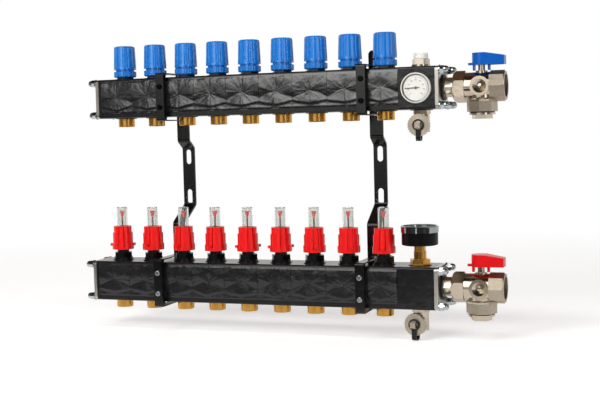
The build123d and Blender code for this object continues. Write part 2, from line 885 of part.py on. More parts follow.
back_eye = cap_back - turn_gap - strap_t
front_eye = cap_back + drain_cap_t + turn_gap
with BuildPart() as drain_strap:
    with BuildSketch(Plane.YZ.offset(-strap_w / 2)):
        with BuildLine():
            FilletPolyline(
                (-front_eye - strap_t / 2, drain_z - front_eye_r + strap_t),
                (-front_eye - strap_t / 2, drain_z - strap_drop),
                (-back_eye - strap_t / 2, drain_z - strap_drop),
                (-back_eye - strap_t / 2, drain_z - back_eye_r + strap_t),
                radius=strap_bend_r,
            )
        trace(line_width=strap_t)
    extrude(amount=strap_w)
    for offset, outer_r, inner_r in (
        (front_eye, front_eye_r, key_size / 2 / cos(radians(45)) + eye_play),
        (back_eye, back_eye_r, outlet_d / 2 + port_play),
    ):
        with BuildSketch(Plane.XZ.offset(offset)):
            with Locations((0, drain_z)):
                Circle(outer_r)
                Circle(inner_r, mode=Mode.SUBTRACT)
        extrude(amount=strap_t)

drain_at = {}
for name, (y, z) in bars.items():
    drain_at[name] = Location((end_mid_x, y, z), (0, 0, drain_turns[name]))
    save(copy_at(drain_cap.part, drain_at[name]), f"{name}_drain_cap")
save(place(drain_body.part, drain_at.values()), "drain_bodies")
save(place(drain_strap.part, drain_at.values()), "drain_straps")

# Unions at the outlet end: nipple and nut. Distances count from the outlet plate's outer face.
with BuildPart() as nipple:
    with BuildSketch(Plane.YZ.offset(-plate_t)):
        Circle(nipple_d / 2)
    extrude(amount=plate_t + gasket_t)
    with BuildSketch(Plane.YZ.offset(-plate_t)):
        Circle(bore_d / 2 - port_play)
    extrude(amount=-nipple_tail)
    with BuildSketch(Plane.YZ.offset(gasket_t)):
        RegularPolygon(nipple_d / 2 + port_play, 8)
    extrude(amount=nipple_length - gasket_t)
    with BuildSketch(Plane.YZ.offset(nipple_length)):
        Circle(nipple_d / 2)
    extrude(amount=union_from + union_lip - nipple_length + port_play)
    with BuildSketch(Plane.YZ.offset(union_from + union_lip + port_play)):
        Circle(collar_d / 2)
    extrude(amount=collar_t)
    with BuildSketch(Plane.YZ.offset(-plate_t - nipple_tail)):
        Circle(nipple_bore_d / 2)
    extrude(amount=plate_t + nipple_tail + union_from + union_length, mode=Mode.SUBTRACT)

with BuildPart() as union_nut:
    with BuildSketch(Plane.YZ.offset(union_from)):
        RegularPolygon(hexagon(union_af), 6, rotation=90 + union_turn)
    extrude(amount=union_length)
    with BuildSketch(Plane.XY):
        with BuildLine():
            rim = hexagon(union_af)
            Polyline(
                (union_from, rim - union_lip),
                (union_from, rim + cut_past),
                (union_from + union_lip * 2, rim + cut_past),
                close=True,
            )
        make_face()
    revolve(axis=Axis.X, mode=Mode.SUBTRACT)
    with BuildSketch(Plane.YZ.offset(union_from)):
        Circle(nipple_d / 2 + 2 * port_play)
    extrude(amount=union_length, mode=Mode.SUBTRACT)
    with BuildSketch(Plane.YZ.offset(union_from + union_lip)):
        Circle(tail_d / 2 + port_play)
    extrude(amount=union_length, mode=Mode.SUBTRACT)

unions = []
for y, z in bars.values():
    unions.append(copy_at(nipple.part, (outlet_x, y, z)))
    unions.append(copy_at(union_nut.part, (outlet_x, y, z)))
save(Compound(children=unions), "unions")

# Ball valve body with its branch, built about the valve's centre
tail_from = union_from + union_lip + 2 * port_play + collar_t + tail_gap - valve_axis_at
barrel_from = union_from + union_length + tail_gap - valve_axis_at
octagon_at = octagon_from - valve_axis_at
outlet_end = octagon_at + octagon_length + end_ring_t
with BuildPart() as valve_body:
    for diameter, low, high in ((tail_d, tail_from, barrel_from), (barrel_d, barrel_from, octagon_at)):
        with BuildSketch(Plane.YZ.offset(low)):
            Circle(diameter / 2)
        extrude(amount=high - low)
    with BuildSketch(Plane.YZ.offset(octagon_at)):
        RegularPolygon(octagon_d / 2, 8)
    extrude(amount=octagon_length)
    with BuildSketch(Plane.YZ.offset(octagon_at)):
        Circle(end_ring_d / 2)
    extrude(amount=octagon_length + end_ring_t)
    with BuildSketch(Plane.XY):
        Circle(branch_neck_d / 2)
    extrude(amount=-branch_low)
    with BuildSketch(Plane.XY.offset(-branch_high)):
        RegularPolygon(branch_d / 2, 8)
    extrude(amount=branch_high - branch_low)
    with BuildSketch(Plane.XY.offset(-branch_high)):
        RegularPolygon(branch_d / 2, 8)
    with BuildSketch(Plane.XY.offset(-branch_high + shoulder)):
        RegularPolygon(branch_neck_d / 2, 8)
    loft(ruled=True)
    with BuildSketch(Plane.XY):
        Circle(stem_boss_d / 2)
    extrude(amount=stem_boss_high)
    with BuildSketch(Plane.XZ):
        Circle(front_boss_d / 2)
    extrude(amount=front_boss_reach)
    # mirror-bright cone sunk in the front boss
    with BuildSketch(Plane.XZ.offset(front_boss_reach)):
        Circle(front_cone_d / 2)
    with BuildSketch(Plane.XZ.offset(front_boss_reach - front_cone_depth)):
        Circle(front_cone_floor_d / 2)
    loft(mode=Mode.SUBTRACT)
    # water way, ball seat, branch and outlet thread
    with BuildSketch(Plane.YZ.offset(tail_from)):
        Circle(way_d / 2)
    extrude(amount=outlet_end - tail_from, mode=Mode.SUBTRACT)
    with BuildSketch(Plane.YZ.offset(outlet_end)):
        Circle(outlet_thread_d / 2)
    extrude(amount=-outlet_thread_depth, mode=Mode.SUBTRACT)
    Sphere(ball_d / 2 + ball_gap, mode=Mode.SUBTRACT)
    with BuildSketch(Plane.XY.offset(-branch_low)):
        Circle(branch_thread_d / 2)
    extrude(amount=branch_low - ball_d / 2, mode=Mode.SUBTRACT)
    with BuildSketch(Plane.XY):
        Circle(stem_d / 2 + turn_gap)
    extrude(amount=stem_boss_high, mode=Mode.SUBTRACT)

with BuildPart() as branch_plug:
    flange_top = -branch_low - plug_seal_t
    with BuildSketch(Plane.XY.offset(flange_top)):
        Circle(plug_flange_d / 2)
    extrude(amount=-plug_flange_t)
    with BuildSketch(Plane.XY.offset(flange_top - plug_flange_t)):
        RegularPolygon(hexagon(plug_hex_af), 6)
    extrude(amount=-plug_hex_h)
    with BuildSketch(Plane.XY.offset(flange_top)):
        Circle(branch_thread_d / 2 - port_play)
    extrude(amount=plug_tail)

# Ball with its stem, turned by the lever above
with BuildPart() as ball:
    Sphere(ball_d / 2)
    with BuildSketch(Plane.YZ.offset(-ball_d / 2)):
        Circle(way_d / 2)
    extrude(amount=ball_d, mode=Mode.SUBTRACT)
    with BuildSketch(Plane.XY.offset(stem_low)):
        Rectangle(ball_d, stem_d / 2)
    extrude(amount=ball_d / 2, mode=Mode.SUBTRACT)

with BuildPart() as stem:
    with BuildSketch(Plane.XY.offset(ball_d / 2 + port_play)):
        Circle(stem_d / 2)
    extrude(amount=stem_high - ball_d / 2 - port_play)
    with BuildSketch(Plane.XY.offset(stem_low + port_play)):
        Rectangle(stem_d, stem_d / 2 - 2 * port_play)
        Circle(stem_d / 2, mode=Mode.INTERSECT)
    extrude(amount=ball_d / 2 - stem_low)

with BuildPart() as lever:
    with BuildSketch(Plane.XY.offset(lever_low)):
        Circle(lever_hub_r)
        with BuildLine():
            Polyline(
                (0, -lever_hub_r),
                (lever_reach, -lever_tip_w / 2),
                (lever_reach, lever_tip_w / 2),
                (0, lever_hub_r),
                close=True,
            )
        make_face()
    extrude(amount=lever_high - lever_low)
    # the top slopes down towards the tip
    with BuildSketch(Plane.XZ.offset(lever_hub_r)):
        with BuildLine():
            Polyline(
                (lever_hub_r / 2, lever_high),
                (lever_reach, lever_high),
                (lever_reach, lever_tip_high),
                close=True,
            )
        make_face()
    extrude(amount=-2 * lever_hub_r, mode=Mode.SUBTRACT)
    # hollow underside
    with BuildSketch(Plane.XY.offset(lever_low)):
        with BuildLine():
            Polyline(
                (stem_d, -lever_hub_r + 2 * lever_wall),
                (lever_reach - lever_wall, -lever_tip_w / 2 + lever_wall),
                (lever_reach - lever_wall, lever_tip_w / 2 - lever_wall),
                (stem_d, lever_hub_r - 2 * lever_wall),
                close=True,
            )
        make_face()
    extrude(amount=lever_tip_high - lever_roof - lever_low, mode=Mode.SUBTRACT)
    # pointer at the back of the hub and two stop tabs
    with BuildSketch(Plane.XY.offset(lever_low)):
        with Locations((-lever_pointer / 2, 0)):
            Rectangle(lever_pointer, pointer_w)
    extrude(amount=pointer_t)
    with BuildSketch(Plane.XY.offset(lever_low)):
        tab_x = lever_hub_r - lever_tab_inset - lever_tab_t / 2
        with Locations((-tab_x, 0), (tab_x, 0)):
            Rectangle(lever_tab_t, lever_tab_w)
    extrude(amount=-tab_drop)
    with BuildSketch(Plane.XY.offset(lever_low)):
        Circle(stem_d / 2 + port_play)
    extrude(amount=stem_high + port_play - lever_low, mode=Mode.SUBTRACT)

valve_spots = {name: (outlet_x + valve_axis_at, y, z) for name, (y, z) in bars.items()}
save(place(valve_body.part, valve_spots.values()), "ball_valve_bodies")
save(place(branch_plug.part, valve_spots.values()), "branch_plugs")
for name, spot in valve_spots.items():
    core = [copy_at(ball.part, spot), copy_at(stem.part, spot)]
    save(Compound(children=core), f"{name}_valve_stem")
    save(copy_at(lever.part, spot), f"{name}_lever")

# Wall brackets: one joggled strip each. Profile in the YZ plane, drawn along its middle.
mid = strip_t / 2
upper_y = -upper_joggle - mid
lower_y = -lower_joggle - mid
strip_top = return_axis_z + half + strip_above_bar
strip_bottom = supply_axis_z - half - strip_below_bar
tab_z = half + clamp_over - clamp_t / 2
with BuildPart() as bracket:
    with BuildSketch(Plane.YZ.offset(-strip_w / 2)):
        with BuildLine():
            FilletPolyline(
                (upper_y, strip_top),
                (upper_y, wall_top + upper_bend_rise),
                (-mid, wall_top),
                (-mid, -wall_bottom),
                (lower_y, -wall_bottom - lower_bend_drop),
                (lower_y, strip_bottom),
                radius=bend_r,
            )
        trace(line_width=strip_t)
    extrude(amount=strip_w)
    ends = bracket.edges().filter_by(Axis.Y)
    fillet(ends.group_by(Axis.Z)[-1] + ends.group_by(Axis.Z)[0], strip_end_r)
    with BuildSketch(Plane.XZ):
        with GridLocations(0, slot_spacing, 1, 2):
            SlotOverall(slot_length, slot_w, rotation=90)
    extrude(amount=strip_t, mode=Mode.SUBTRACT)
    # slots that take the clamps' tabs
    with BuildSketch(Plane.XZ):
        for _, axis_z in bars.values():
            with Locations((0, axis_z + tab_z), (0, axis_z - tab_z)):
                Rectangle(tab_w + 2 * tab_play, clamp_t + 2 * tab_play)
    extrude(amount=lower_joggle + strip_t, mode=Mode.SUBTRACT)

bracket_spots = [(0, 0, 0), (bracket_pitch, 0, 0)]
save(place(bracket.part, bracket_spots), "wall_brackets")

# Clamps: a folded channel across the bar's front, with two arms back to the strip
with BuildPart() as clamp:
    channel_back = half + pad_t
    front = channel_back + clamp_depth
    arm_z = half + clamp_over
    with BuildSketch(Plane.YZ.offset(-clamp_w / 2)):
        with Locations((-(front - clamp_depth / 2), 0)):
            Rectangle(clamp_depth, 2 * arm_z)
    extrude(amount=clamp_w)
    fillet(clamp.edges().filter_by(Axis.X).group_by(Axis.Y)[0], clamp_corner)
    with BuildSketch(Plane.XZ.offset(channel_back)):
        Rectangle(clamp_w - 2 * clamp_t, 2 * arm_z - 2 * clamp_t)
    extrude(amount=clamp_depth - clamp_t, mode=Mode.SUBTRACT)
    with BuildSketch(Plane.XZ.offset(-half - pad_t)):
        with Locations((0, tab_z), (0, -tab_z)):
            Rectangle(clamp_w, clamp_t)
    extrude(amount=half + pad_t + channel_back)
    with BuildSketch(Plane.XZ.offset(-half - pad_t)):
        with Locations((0, tab_z), (0, -tab_z)):
            Rectangle(tab_w, clamp_t)
    extrude(amount=-strip_t - tab_past)
    with BuildSketch(Plane.XZ.offset(front)):
        with GridLocations(0, screw_spacing, 1, 2):
            Circle(screw_d / 2 + port_play)
    extrude(amount=-clamp_t, mode=Mode.SUBTRACT)

with BuildPart() as front_pad:
    with BuildSketch(Plane.XZ.offset(half)):
        Rectangle(clamp_w, pad_length)
    extrude(amount=pad_t)
    with BuildSketch(Plane.XZ.offset(half + pad_t)):
        with GridLocations(0, screw_spacing, 1, 2):
            Circle(screw_d / 2 + port_play)
    extrude(amount=-screw_in_pad, mode=Mode.SUBTRACT)

with BuildPart() as rear_pad:
    with BuildSketch(Plane.XZ.offset(-half - pad_t)):
        Rectangle(clamp_w, pad_length)
    extrude(amount=pad_t)

with BuildPart() as clamp_screw:
    with BuildSketch(Plane.XZ.offset(front)):
        Circle(screw_head_d / 2)
    extrude(amount=screw_head_h)
    fillet(clamp_screw.faces().sort_by(Axis.Y)[0].edges(), screw_head_h / 2)
    with BuildSketch(Plane.XZ.offset(front)):
        Circle(screw_d / 2)
    extrude(amount=-clamp_depth - screw_in_pad)

clamp_spots = [(x, y, z) for y, z in bars.values() for x, _, _ in bracket_spots]
save(place(clamp.part, clamp_spots), "bar_clamps")
screw_spots = []
for x, y, z in clamp_spots:
    screw_spots += [(x, y, z - screw_spacing / 2), (x, y, z + screw_spacing / 2)]
save(place(clamp_screw.part, screw_spots), "clamp_screws")

# Rubber: rings between modules, gaskets at the nipples, plug seals and clamp pads
with BuildPart() as module_seal:
    with BuildSketch(Plane.YZ.offset(spigot_length)):
        Circle(spigot_d / 2)
        Circle(bore_d / 2, mode=Mode.SUBTRACT)
    extrude(amount=seal_t)

with BuildPart() as gasket:
    with BuildSketch(Plane.YZ):
        Circle(gasket_d / 2)
        Circle(nipple_d / 2 + port_play, mode=Mode.SUBTRACT)
    extrude(amount=gasket_t)

with BuildPart() as plug_seal:
    with BuildSketch(Plane.XY.offset(-branch_low - plug_seal_t)):
        Circle(plug_seal_d / 2)
        Circle(branch_thread_d / 2, mode=Mode.SUBTRACT)
    extrude(amount=plug_seal_t)

rubber = []
for y, z in bars.values():
    for i in range(circuits + 1):
        rubber.append(copy_at(module_seal.part, (row_x + pitch * i, y, z)))
    rubber.append(copy_at(gasket.part, (outlet_x, y, z)))
rubber += [copy_at(plug_seal.part, spot) for spot in valve_spots.values()]
for spot in clamp_spots:
    rubber.append(copy_at(front_pad.part, spot))
    rubber.append(copy_at(rear_pad.part, spot))
save(Compound(children=rubber), "seals_and_pads")
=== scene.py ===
from math import atan2, cos, pi, radians, sin

import bmesh
import bpy
from bpy.props import FloatProperty, FloatVectorProperty, PointerProperty
from bpy.types import Operator, Panel, PropertyGroup
from mathutils import Matrix, Vector, noise


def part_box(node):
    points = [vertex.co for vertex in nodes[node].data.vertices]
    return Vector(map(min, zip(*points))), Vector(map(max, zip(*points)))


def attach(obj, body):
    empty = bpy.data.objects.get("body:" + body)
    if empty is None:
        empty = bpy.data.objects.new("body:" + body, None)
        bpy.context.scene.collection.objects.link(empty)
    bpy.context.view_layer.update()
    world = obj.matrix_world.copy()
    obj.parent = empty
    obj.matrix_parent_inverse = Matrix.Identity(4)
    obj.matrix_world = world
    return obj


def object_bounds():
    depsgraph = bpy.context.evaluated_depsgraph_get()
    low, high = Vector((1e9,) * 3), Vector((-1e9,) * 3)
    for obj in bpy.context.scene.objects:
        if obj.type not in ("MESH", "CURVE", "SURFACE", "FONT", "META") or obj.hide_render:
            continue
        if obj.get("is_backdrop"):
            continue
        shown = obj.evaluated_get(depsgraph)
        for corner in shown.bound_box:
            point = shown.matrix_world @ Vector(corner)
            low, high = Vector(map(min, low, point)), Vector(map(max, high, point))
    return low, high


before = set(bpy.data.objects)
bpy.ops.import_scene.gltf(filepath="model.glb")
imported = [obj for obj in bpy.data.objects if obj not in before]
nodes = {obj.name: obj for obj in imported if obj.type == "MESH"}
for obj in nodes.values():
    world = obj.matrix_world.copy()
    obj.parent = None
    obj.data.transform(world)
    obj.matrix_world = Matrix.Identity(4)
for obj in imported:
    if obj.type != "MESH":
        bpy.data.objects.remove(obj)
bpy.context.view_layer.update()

bl_info = {
    "name": "Heating Manifold",
    "version": (1, 0, 0),
    "blender": (4, 5, 0),
    "location": "View3D > Sidebar > Manifold",
    "description": "Dresses the frame of an underfloor heating manifold with its finishes and fine parts",
    "category": "Object",
}

MM = 0.001
circuits = sum(name.startswith("return_knob_") for name in nodes)

# Plain margins of a module's face, below and above its cushions.
foot_margin, top_margin = 7 * MM, 3 * MM
# The fitted camera's place, in metres.
camera_place = (0.73195, -1.5174, 0.06955)


def middle(node):
    """The middle of a CAD node's box."""
    low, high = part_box(node)
    return (low + high) / 2


def numbered(piece):
    """The names of a piece that each circuit has."""
    return [f"{piece}_{i + 1}" for i in range(circuits)]


def linear(code):
    """A colour written as sRGB hex, as linear red, green and blue."""
    parts = [int(code[i:i + 2], 16) / 255 for i in (0, 2, 4)]
    return tuple(c / 12.92 if c <= 0.04045 else ((c + 0.055) / 1.055) ** 2.4 for c in parts)


def colour(code, label, use):
    """A colour property with its default as sRGB hex."""
    return FloatVectorProperty(
        name=label, description=use, subtype="COLOR", size=3, min=0, max=1, default=linear(code)
    )


def length(size_mm, label, use):
    """A length property, in metres, with its default in millimetres."""
    return FloatProperty(name=label, description=use, unit="LENGTH", default=size_mm * MM)


def angle(degrees, label, use):
    """An angle property, with its default in degrees."""
    return FloatProperty(name=label, description=use, unit="ROTATION", default=radians(degrees))


class ManifoldColours(PropertyGroup):
    """Colours of the finishes."""
    polyamide: colour("151618", "Polyamide", "Moulded bar modules")
    black: colour("0a0a0b", "Black plastic", "Flow meter bodies and instrument cases")
    blue: colour("0674cb", "Blue", "Return knobs and rings")
    lever_blue: colour("0058b4", "Lever blue", "Return lever")
    red: colour("f01414", "Red", "Flow meter caps")
    lever_red: colour("e00d12", "Lever red", "Supply lever")
    brass: colour("d9a550", "Brass", "Pipe connectors, inserts and the gauge's fitting")
    nickel: colour("d2c5b2", "Nickel", "Ball valves, unions, drains and the vent")
    plate: colour("cfcac2", "Plate", "End plates")
    zinc: colour("c4ced2", "Zinc", "Tie rods, nuts and screws")
    chrome: colour("a9b2b5", "Chrome", "Bezel of the gauge")
    paint: colour("0b0b0c", "Powder coat", "Wall brackets and clamps")
    rubber: colour("141414", "Rubber", "Seals and pads")
    dial: colour("e2e1da", "White lacquer", "Case of the thermometer and both dials")
    needle: colour("5a5148", "Needle", "Needles of both instruments")
    print_ink: colour("3c3a38", "Ink", "Scales and figures")
    white: colour("f1f1ec", "White", "Cap of the air vent")
    tube: colour("e9eae6", "Sight tube", "Tint of the clear polyamide")
    floor: colour("f2f2f2", "Floor", "Floor under the object")
    card: colour("fffdfa", "Reflector card", "Studio cards and walls that polished surfaces mirror")
    felt: colour("1c1b1a", "Black felt", "Studio flags on the floor")
    ceiling: colour("664e3d", "Ceiling", "Dark upper part of the studio, seen in polished metal")


class ManifoldSizes(PropertyGroup):
    """Sizes of the fine parts that the frame leaves plain, and the camera's aim."""
    figure_height: length(2.9, "Figure height", "Height of the figures on the dials")
    tick_long: length(1.9, "Long tick", "Length of a scale's main ticks")
    tick_short: length(1.0, "Short tick", "Length of a scale's small ticks")
    tick_width: length(0.28, "Tick width", "Width of a scale's ticks")
    ink: length(0.06, "Ink thickness", "Height of the print above its ground")
    relief: length(2.0, "Relief", "How far the cushions of the bar's faces stand out")
    thread_pitch: length(1.8, "Thread pitch", "Pitch of the thread on the pipe connectors")
    lens: FloatProperty(
        name="Lens", description="Camera's focal length in millimetres", unit="CAMERA", default=66.44
    )
    bearing: angle(20.11, "Bearing", "Camera's angle round the object")
    elevation: angle(3.73, "Elevation", "Camera's angle above level")
    roll: angle(-1.44, "Roll", "Camera's tilt about its own line")


def colours():
    """The colours that the user has set."""
    return bpy.context.scene.manifold_colours


def sizes():
    """The sizes that the user has set."""
    return bpy.context.scene.manifold_sizes


def add_node(tree, kind, inputs=None, **settings):
    """Adds a node, sets its properties, and gives each input a value or a link."""
    node = tree.nodes.new(kind)
    for name, value in settings.items():
        setattr(node, name, value)
    for name, value in (inputs or {}).items():
        if isinstance(value, bpy.types.NodeSocket):
            tree.links.new(value, node.inputs[name])
        else:
            node.inputs[name].default_value = value
    return node


def per_metre(size_mm):
    """A texture's scale for features of that size."""
    return 1000 / size_mm


def wave_scale(pitch_mm):
    """A wave texture's scale for bands of that pitch: it has 20 / 2 pi bands to its own unit."""
    return 2 * pi * 1000 / (20 * pitch_mm)


def shade(colour_value, factor=1.0):
    """A colour made darker or lighter, with its alpha."""
    return (*(min(1.0, c * factor) for c in colour_value), 1.0)


pure_white = shade(linear("ffffff"))


def start_material(name):
    """A new material with an empty tree, and the socket that gives its Object coordinates."""
    material = bpy.data.materials.new(name)
    material.use_nodes = True
    material.node_tree.nodes.clear()
    place = add_node(material.node_tree, "ShaderNodeTexCoord")
    return material, material.node_tree, place.outputs["Object"]


def mottle(tree, place, size_mm, low=0.0, high=1.0, detail=3.0):
    """A cloudy pattern of that feature size, which runs from one number or colour to another."""
    clouds = add_node(
        tree, "ShaderNodeTexNoise", {"Vector": place, "Scale": per_metre(size_mm), "Detail": detail}
    )
    if isinstance(low, tuple):
        mix = add_node(
            tree, "ShaderNodeMix", {0: clouds.outputs["Fac"], 6: low, 7: high}, data_type="RGBA"
        )
        return mix.outputs[2]
    spread = add_node(
        tree, "ShaderNodeMapRange", {"Value": clouds.outputs["Fac"], "To Min": low, "To Max": high}
    )
    return spread.outputs["Result"]


def above(tree, place, axis, level):
    """One where the Object coordinate on that axis is above the level, else zero."""
    split = add_node(tree, "ShaderNodeSeparateXYZ", {"Vector": place})
    over = add_node(tree, "ShaderNodeMath", {0: split.outputs[axis], 1: level}, operation="GREATER_THAN")
    return over.outputs["Value"]


def close_material(tree, relief=None, **inputs):
    """The Principled shader with these inputs, joined to the output.

    relief is a height pattern and how deep it goes, in millimetres."""
    named = {name.replace("_", " "): value for name, value in inputs.items()}
    if relief:
        raised = add_node(tree, "ShaderNodeBump", {"Height": relief[0], "Distance": relief[1] * MM})
        named["Normal"] = raised.outputs["Normal"]
    shader = add_node(tree, "ShaderNodeBsdfPrincipled", named)
    add_node(tree, "ShaderNodeOutputMaterial", {"Surface": shader.outputs["BSDF"]})


def moulded_polyamide(name, gloss, sink):
    """Glass-fibre polyamide, injection moulded: satin black with cloudy flow marks and soft sink marks.

    sink is how deep the sink marks are, in millimetres."""
    material, tree, place = start_material(name)
    base = colours().polyamide
    close_material(
        tree, Base_Color=mottle(tree, place, 11, shade(base, 0.6), shade(base, 1.5)),
        Roughness=mottle(tree, place, 5, 0.15, 0.28), IOR=1.53, Specular_IOR_Level=gloss,
        relief=(mottle(tree, place, 14, detail=2.0), sink),
    )
    return material


def moulded_abs(name, base, roughness, gloss):
    """ABS, injection moulded in a polished tool: an even glossy colour with a slight orange peel."""
    material, tree, place = start_material(name)
    close_material(
        tree, Base_Color=mottle(tree, place, 20, shade(base, 0.92), shade(base, 1.05)),
        Roughness=mottle(tree, place, 6, roughness * 0.85, roughness * 1.15), IOR=1.52,
        Specular_IOR_Level=gloss, relief=(mottle(tree, place, 2.5, detail=1.0), 0.015),
    )
    return material


def plated_metal(name, base, roughness):
    """Metal with a bright plated or polished skin: a mirror softened by fine rubbing, with faint stains.

    Real rubbing marks are finer than a pixel, so they are drawn 1.8 mm wide."""
    material, tree, place = start_material(name)
    close_material(
        tree, Base_Color=mottle(tree, place, 9, shade(base, 0.88), shade(base, 1.03)), Metallic=1.0,
        Roughness=mottle(tree, place, 4, roughness * 0.8, roughness * 1.3),
        relief=(mottle(tree, place, 1.8, detail=2.0), 0.006),
    )
    return material


def cast_and_plated():
    """Brass, cast and nickel plated: rough sand-cast flats at the octagons, and smooth turned metal between.

    Casting sand is finer than a pixel, so its grain and pits are drawn over 1 mm wide."""
    material, tree, place = start_material("cast brass, nickel plated")
    base = colours().nickel
    octagon_length, branch_drop, branch_half = 20 * MM, 27 * MM, 7 * MM
    _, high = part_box("ball_valve_bodies")
    split = add_node(tree, "ShaderNodeSeparateXYZ", {"Vector": place})
    cast = above(tree, place, "X", high.x - octagon_length)
    for bar in ("supply", "return"):
        branch_z = middle(f"{bar}_modules").z - branch_drop
        near = add_node(
            tree, "ShaderNodeMath", {0: split.outputs["Z"], 1: branch_z, 2: branch_half}, operation="COMPARE"
        )
        cast = add_node(
            tree, "ShaderNodeMath", {0: cast, 1: near.outputs["Value"]}, operation="MAXIMUM"
        ).outputs["Value"]
    sand = mottle(tree, place, 1.1, detail=4.0)
    height = add_node(tree, "ShaderNodeMath", {0: sand, 1: cast}, operation="MULTIPLY")
    rough = add_node(tree, "ShaderNodeMix", {0: cast, 2: 0.17, 3: 0.4})
    skin = mottle(tree, place, 9, shade(base, 0.86), shade(base, 1.03))
    pits = mottle(tree, place, 1.4, shade(base, 0.45), shade(base, 1.1))
    colour_here = add_node(tree, "ShaderNodeMix", {0: cast, 6: skin, 7: pits}, data_type="RGBA")
    close_material(
        tree, Base_Color=colour_here.outputs[2], Metallic=1.0, Roughness=rough.outputs[0],
        relief=(height.outputs["Value"], 0.3),
    )
    return material


def threaded_brass():
    """Brass bar, turned and threaded: golden, with the fine rings of its thread."""
    material, tree, place = start_material("turned brass")
    base = colours().brass
    thread = add_node(
        tree, "ShaderNodeTexWave", {"Vector": place, "Scale": wave_scale(sizes().thread_pitch / MM)},
        wave_type="BANDS", bands_direction="Z", wave_profile="SIN",
    )
    close_material(
        tree, Base_Color=mottle(tree, place, 16, shade(base, 0.94), shade(base, 1.02)), Metallic=1.0,
        Roughness=mottle(tree, place, 6, 0.24, 0.28), relief=(thread.outputs["Fac"], 0.008),
    )
    return material


def insert_finish():
    """Brass insert under each knob: golden above, and dull black and not metallic below, which is painted shade
    where the knob's ring shades it.
    """
    material, tree, place = start_material("brass insert with painted shade below")
    # How far above the bar the insert is painted black, as painted shade under the knob's ring.
    painted_shade_height = 6 * MM
    _, bar_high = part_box("return_modules")
    # Below this height the colour is painted shade: black in place of brass, under the ring.
    metal = above(tree, place, "Z", bar_high.z + painted_shade_height)
    base = add_node(
        tree, "ShaderNodeMix", {0: metal, 6: shade(colours().black), 7: shade(colours().brass)},
        data_type="RGBA",
    )
    close_material(
        tree, Base_Color=base.outputs[2], Metallic=metal, Roughness=mottle(tree, place, 3, 0.24, 0.34)
    )
    return material


def faced_cap(node, turn):
    """Brass cap, faced in the lathe and nickel plated: fine rings round its middle catch the light.

    Real turning marks are finer than a pixel, so the rings are drawn at a pitch of 1.9 mm."""
    material, tree, place = start_material(f"{node} faced in the lathe".replace("_", " "))
    base = colours().nickel
    ring_pitch_mm = 1.9
    centred = add_node(
        tree, "ShaderNodeMapping", {"Vector": place, "Location": -middle(node)}, vector_type="POINT"
    )
    level = add_node(
        tree, "ShaderNodeMapping", {"Vector": centred.outputs["Vector"], "Rotation": (0, 0, -turn)},
        vector_type="POINT",
    )
    rings = add_node(
        tree, "ShaderNodeTexWave",
        {
            "Vector": level.outputs["Vector"], "Scale": wave_scale(ring_pitch_mm), "Distortion": 0.6,
            "Detail": 1.0,
        },
        wave_type="RINGS", rings_direction="Y", wave_profile="SIN",
    )
    base_here = add_node(
        tree, "ShaderNodeMix", {0: rings.outputs["Fac"], 6: shade(base, 0.66), 7: shade(base, 0.95)},
        data_type="RGBA",
    )
    close_material(
        tree, Base_Color=base_here.outputs[2], Metallic=1.0, Roughness=mottle(tree, place, 4, 0.24, 0.36),
        relief=(rings.outputs["Fac"], 0.06),
    )
    return material


def screw_finish():
    """Steel screws: dark oxide heads on the return clamps, bright zinc on the supply clamps."""
    material, tree, place = start_material("clamp screw steel")
    # The return bar is above the frame's origin and the supply bar below it.
    base = add_node(
        tree, "ShaderNodeMix",
        {0: above(tree, place, "Z", 0.0), 6: shade(colours().zinc, 0.9), 7: shade(colours().paint, 2.0)},
        data_type="RGBA",
    )
    close_material(tree, Base_Color=base.outputs[2], Metallic=1.0, Roughness=mottle(tree, place, 3, 0.2, 0.3))
    return material


def powder_coat():
    """Polyester powder coat over steel: glossy black with the coat's fine ripple."""
    material, tree, place = start_material("black powder coat")
    base = colours().paint
    close_material(
        tree, Base_Color=mottle(tree, place, 30, shade(base, 0.85), shade(base, 1.15)),
        Roughness=mottle(tree, place, 8, 0.16, 0.26), IOR=1.5,
        relief=(mottle(tree, place, 1.6, detail=2.0), 0.02),
    )
    return material


def moulded_rubber():
    """EPDM rubber, moulded: dull black with a soft grain."""
    material, tree, place = start_material("EPDM rubber")
    base = colours().rubber
    close_material(
        tree, Base_Color=mottle(tree, place, 10, shade(base, 0.8), shade(base, 1.4)),
        Roughness=mottle(tree, place, 5, 0.5, 0.65), IOR=1.5, relief=(mottle(tree, place, 1.2), 0.03),
    )
    return material


def clear_polyamide():
    """Clear polyamide, moulded: the flow meters' tubes are faintly milky, and the flat lenses quite clear.

    Its IOR is below the plastic's own, which keeps the tubes' edges as light as the real ones."""
    material, tree, place = start_material("clear polyamide")
    case_low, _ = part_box("thermometer_case_and_dials")
    gap = 6 * MM
    lens = above(tree, place, "X", case_low.x - gap)
    tint = add_node(
        tree, "ShaderNodeMix", {0: lens, 6: shade(colours().tube), 7: pure_white}, data_type="RGBA"
    )
    rough = add_node(tree, "ShaderNodeMix", {0: lens, 2: 0.08, 3: 0.03})
    through = add_node(tree, "ShaderNodeMix", {0: lens, 2: 0.93, 3: 1.0})
    close_material(
        tree, Base_Color=tint.outputs[2], Roughness=rough.outputs[0], IOR=1.3,
        Transmission_Weight=through.outputs[0], relief=(mottle(tree, place, 6, detail=1.0), 0.01),
    )
    return material


def indicator_plastic():
    """Acetal rod with a red cone at its top: the colour changes where the cone begins."""
    material, tree, place = start_material("acetal indicator")
    cone_height = 9.2 * MM
    _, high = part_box("flow_indicator_1")
    cone = above(tree, place, "Z", high.z - cone_height)
    base = add_node(
        tree, "ShaderNodeMix", {0: cone, 6: shade(colours().black), 7: shade(colours().red)}, data_type="RGBA"
    )
    close_material(tree, Base_Color=base.outputs[2], Roughness=mottle(tree, place, 3, 0.3, 0.42), IOR=1.48)
    return material


